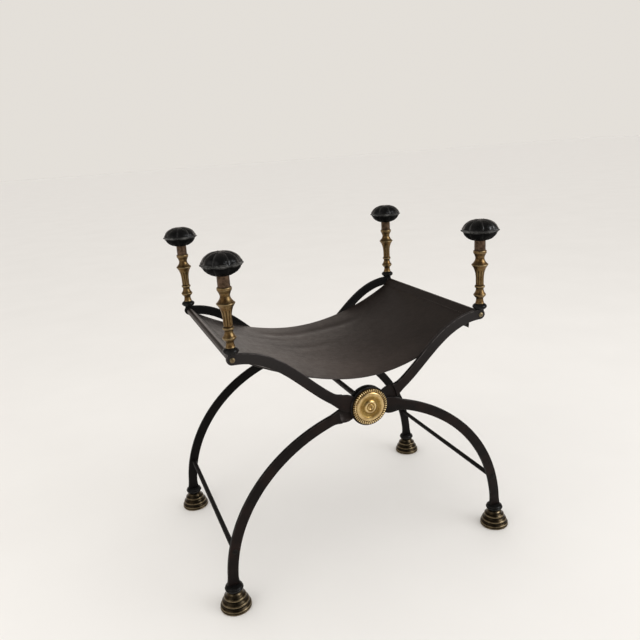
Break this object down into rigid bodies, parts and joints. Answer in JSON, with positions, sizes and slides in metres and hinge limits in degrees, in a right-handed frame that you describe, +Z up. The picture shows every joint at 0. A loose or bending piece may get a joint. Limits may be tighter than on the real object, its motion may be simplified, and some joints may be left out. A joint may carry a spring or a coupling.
{
  "type": "wrought iron stool",
  "caption": "Folding X-frame stool of S-curved wrought iron bars: slung leather seat, turned brass posts with stuffed leather knobs, brass medallions on the crossings, stepped brass feet.",
  "frame": {"origin": "on the floor under the middle of the pivot axle", "axes": "+Z up, -Y towards the front, +X towards the right arms"},
  "size_m": [0.659, 0.4716, 0.6859],
  "materials": {
    "wrought_iron": "satin black",
    "plain_steel": "plain",
    "aged_brass": "aged",
    "bright_brass": "polished",
    "dark_brass": "darkened",
    "black_leather": "glossy",
    "brown_black_leather": "worn satin",
    "turned_beech": "plain"
  },
  "bodies": {
    "left_frame": {"left_frame_front_bar": "wrought_iron", "left_frame_rear_bar": "wrought_iron", "left_seat_rod": "wrought_iron", "right_stretcher": "wrought_iron", "front_left_collar": "wrought_iron", "front_left_post": "aged_brass", "front_left_post_stud": "plain_steel", "front_left_knob": "black_leather", "front_left_knob_core": "turned_beech", "front_left_seat_screw": "aged_brass", "front_right_knop": "wrought_iron", "front_right_foot": "dark_brass", "front_right_foot_stud": "plain_steel", "front_right_rivet": "wrought_iron", "rear_left_collar": "wrought_iron", "rear_left_post": "aged_brass", "rear_left_post_stud": "plain_steel", "rear_left_knob": "black_leather", "rear_left_knob_core": "turned_beech", "rear_left_seat_screw": "aged_brass", "rear_right_knop": "wrought_iron", "rear_right_foot": "dark_brass", "rear_right_foot_stud": "plain_steel", "rear_right_rivet": "wrought_iron", "pivot_axle": "wrought_iron", "front_hub_disc": "wrought_iron", "front_boss": "wrought_iron", "front_medallion": "bright_brass", "rear_hub_disc": "wrought_iron", "rear_boss": "wrought_iron", "rear_medallion": "bright_brass", "leather_sling": "brown_black_leather"},
    "right_frame": {"right_frame_front_bar": "wrought_iron", "right_frame_rear_bar": "wrought_iron", "right_seat_rod": "wrought_iron", "left_stretcher": "wrought_iron", "front_right_collar": "wrought_iron", "front_right_post": "aged_brass", "front_right_post_stud": "plain_steel", "front_right_knob": "black_leather", "front_right_knob_core": "turned_beech", "front_right_seat_screw": "aged_brass", "front_left_knop": "wrought_iron", "front_left_foot": "dark_brass", "front_left_foot_stud": "plain_steel", "front_left_rivet": "wrought_iron", "rear_right_collar": "wrought_iron", "rear_right_post": "aged_brass", "rear_right_post_stud": "plain_steel", "rear_right_knob": "black_leather", "rear_right_knob_core": "turned_beech", "rear_right_seat_screw": "aged_brass", "rear_left_knop": "wrought_iron", "rear_left_foot": "dark_brass", "rear_left_foot_stud": "plain_steel", "rear_left_rivet": "wrought_iron"}
  },
  "joints": [
    {"name": "fold", "type": "hinge", "parent": "left_frame", "child": "right_frame", "pos_m": [0, 0, 0.353], "axis": [0, -1, 0], "range_deg": [0, 67], "deforming": ["leather_sling"]}
  ]
}
